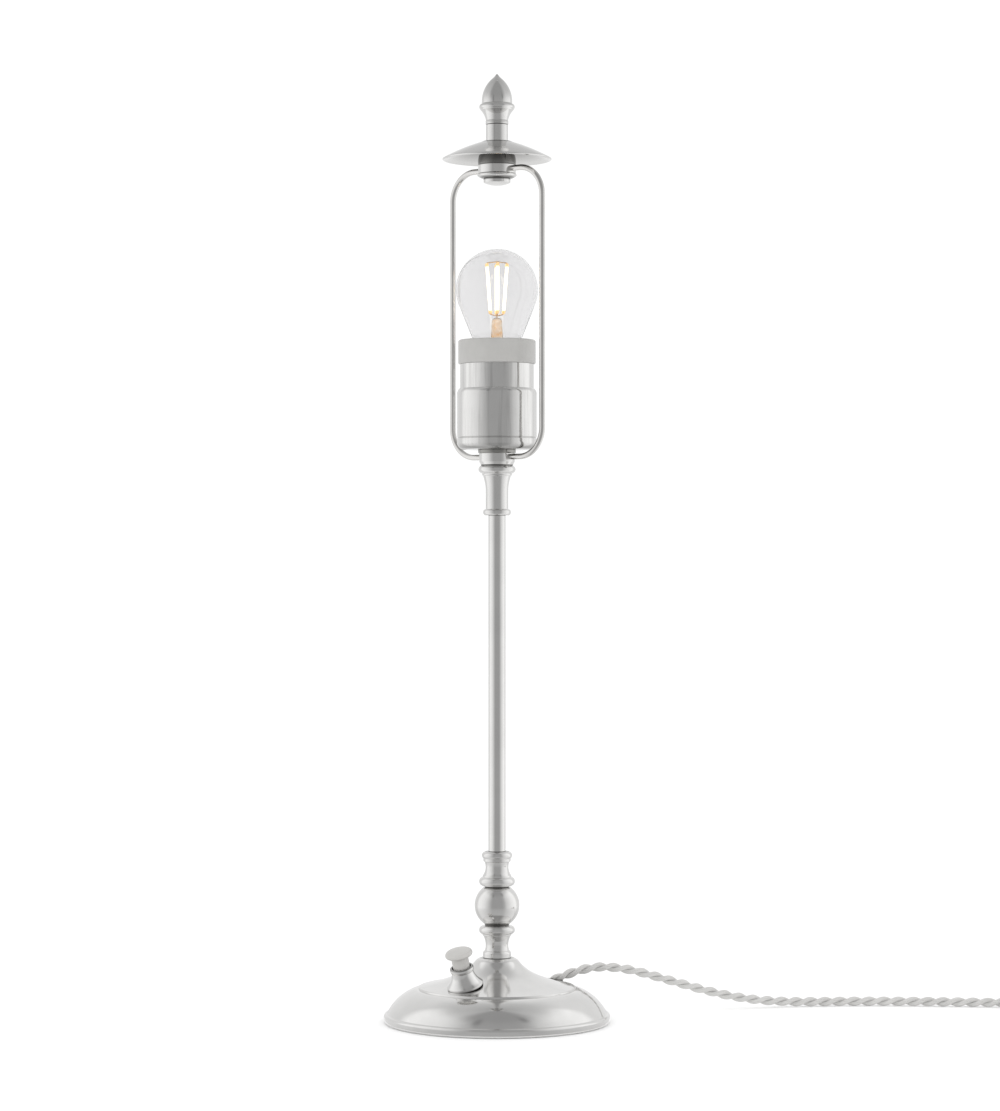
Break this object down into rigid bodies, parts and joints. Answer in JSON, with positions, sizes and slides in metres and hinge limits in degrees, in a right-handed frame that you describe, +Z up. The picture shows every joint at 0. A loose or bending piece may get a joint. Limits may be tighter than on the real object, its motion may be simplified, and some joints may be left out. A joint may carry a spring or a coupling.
{
  "type": "table lamp stand",
  "caption": "Slim turned table lamp stand: domed base with push switch and cord, ball baluster, stem, E27 lampholder and bulb in a wire harp, shade carrier disc and acorn finial.",
  "frame": {"origin": "centre of the foot, on the table", "axes": "+Z up the stem, the harp lies in the X-Z plane, the switch stands 5.5 degrees off -Y and the cord leaves 3.5 degrees off +Y"},
  "size_m": [0.3395, 0.3358, 0.5207],
  "materials": {
    "nickel": "nickel plated brass, bright with a soft satin",
    "steel": "zinc plated",
    "felt": "wool felt",
    "cast_iron": "as cast",
    "brass": "turned, plain",
    "porcelain": "opaque porcelain, thin glaze",
    "clear_glass": "clear",
    "black_glass": "opaque black",
    "bulb_cap": "rolled",
    "filament": "glowing strip",
    "black_plastic": "pressed",
    "grey_textile": "braided cotton over two strands",
    "tie_band": "plain band",
    "plug_plastic": "moulded",
    "pin_metal": "nickel plated brass",
    "lead_insulation": "smooth"
  },
  "bodies": {
    "stand": {"base_shell": "nickel", "bottom_plate": "steel", "felt_pad": "felt", "base_weight": "cast_iron", "plate_screws": "steel", "base_washer": "steel", "base_nut": "brass", "stem_tube": "nickel", "lower_collar": "nickel", "baluster_ball": "nickel", "upper_collar": "nickel", "top_collar": "nickel", "harp_lower_hub": "nickel", "harp_wire_right": "nickel", "harp_wire_left": "nickel", "harp_upper_hub": "nickel", "hub_washer": "nickel", "hub_cap_nut": "nickel", "top_stud": "brass", "carrier_boss": "nickel", "carrier_disc": "nickel", "carrier_spacer": "nickel", "holder_cup": "nickel", "holder_mantle": "nickel", "holder_nut": "brass", "holder_insert": "porcelain", "porcelain_ring": "porcelain", "thread_sleeve": "brass", "centre_contact": "brass", "terminal_screws": "brass", "switch_bell": "nickel", "switch_neck": "brass", "switch_nut": "brass", "switch_body": "black_plastic", "switch_spring": "steel", "switch_terminals": "brass", "cord_bushing": "nickel", "cord": "grey_textile", "cord_coil": "grey_textile", "coil_tie": "tie_band", "cord_tail": "grey_textile", "plug_body": "plug_plastic", "plug_pins": "pin_metal", "stem_leads": "lead_insulation", "base_leads": "lead_insulation", "bushing_nut": "brass", "connector_block": "plug_plastic"},
    "button": {"switch_button": "porcelain", "switch_plunger": "steel"},
    "bulb": {"bulb_glass": "clear_glass", "bulb_cap": "bulb_cap", "bulb_insulator": "black_glass", "bulb_tip": "brass", "glass_mount": "clear_glass", "led_filaments": "filament", "filament_supports": "bulb_cap"},
    "finial_knob": {"finial": "nickel"}
  },
  "joints": [
    {"name": "button_press", "type": "slide", "parent": "stand", "child": "button", "axis": [-0.0304, 0.3158, -0.9483], "range_m": [0, 0.003], "stiffness_N_per_m": 500, "springref_m": -0.002, "deforming": ["switch_spring"]},
    {"name": "bulb_turn", "type": "hinge", "parent": "stand", "child": "bulb", "pos_m": [0, 0, 0.36], "axis": [0, 0, 1], "range_deg": [0, 900]},
    {"name": "finial_turn", "type": "hinge", "parent": "stand", "child": "finial_knob", "pos_m": [0, 0, 0.5], "axis": [0, 0, 1], "range_deg": [0, 2880]}
  ]
}
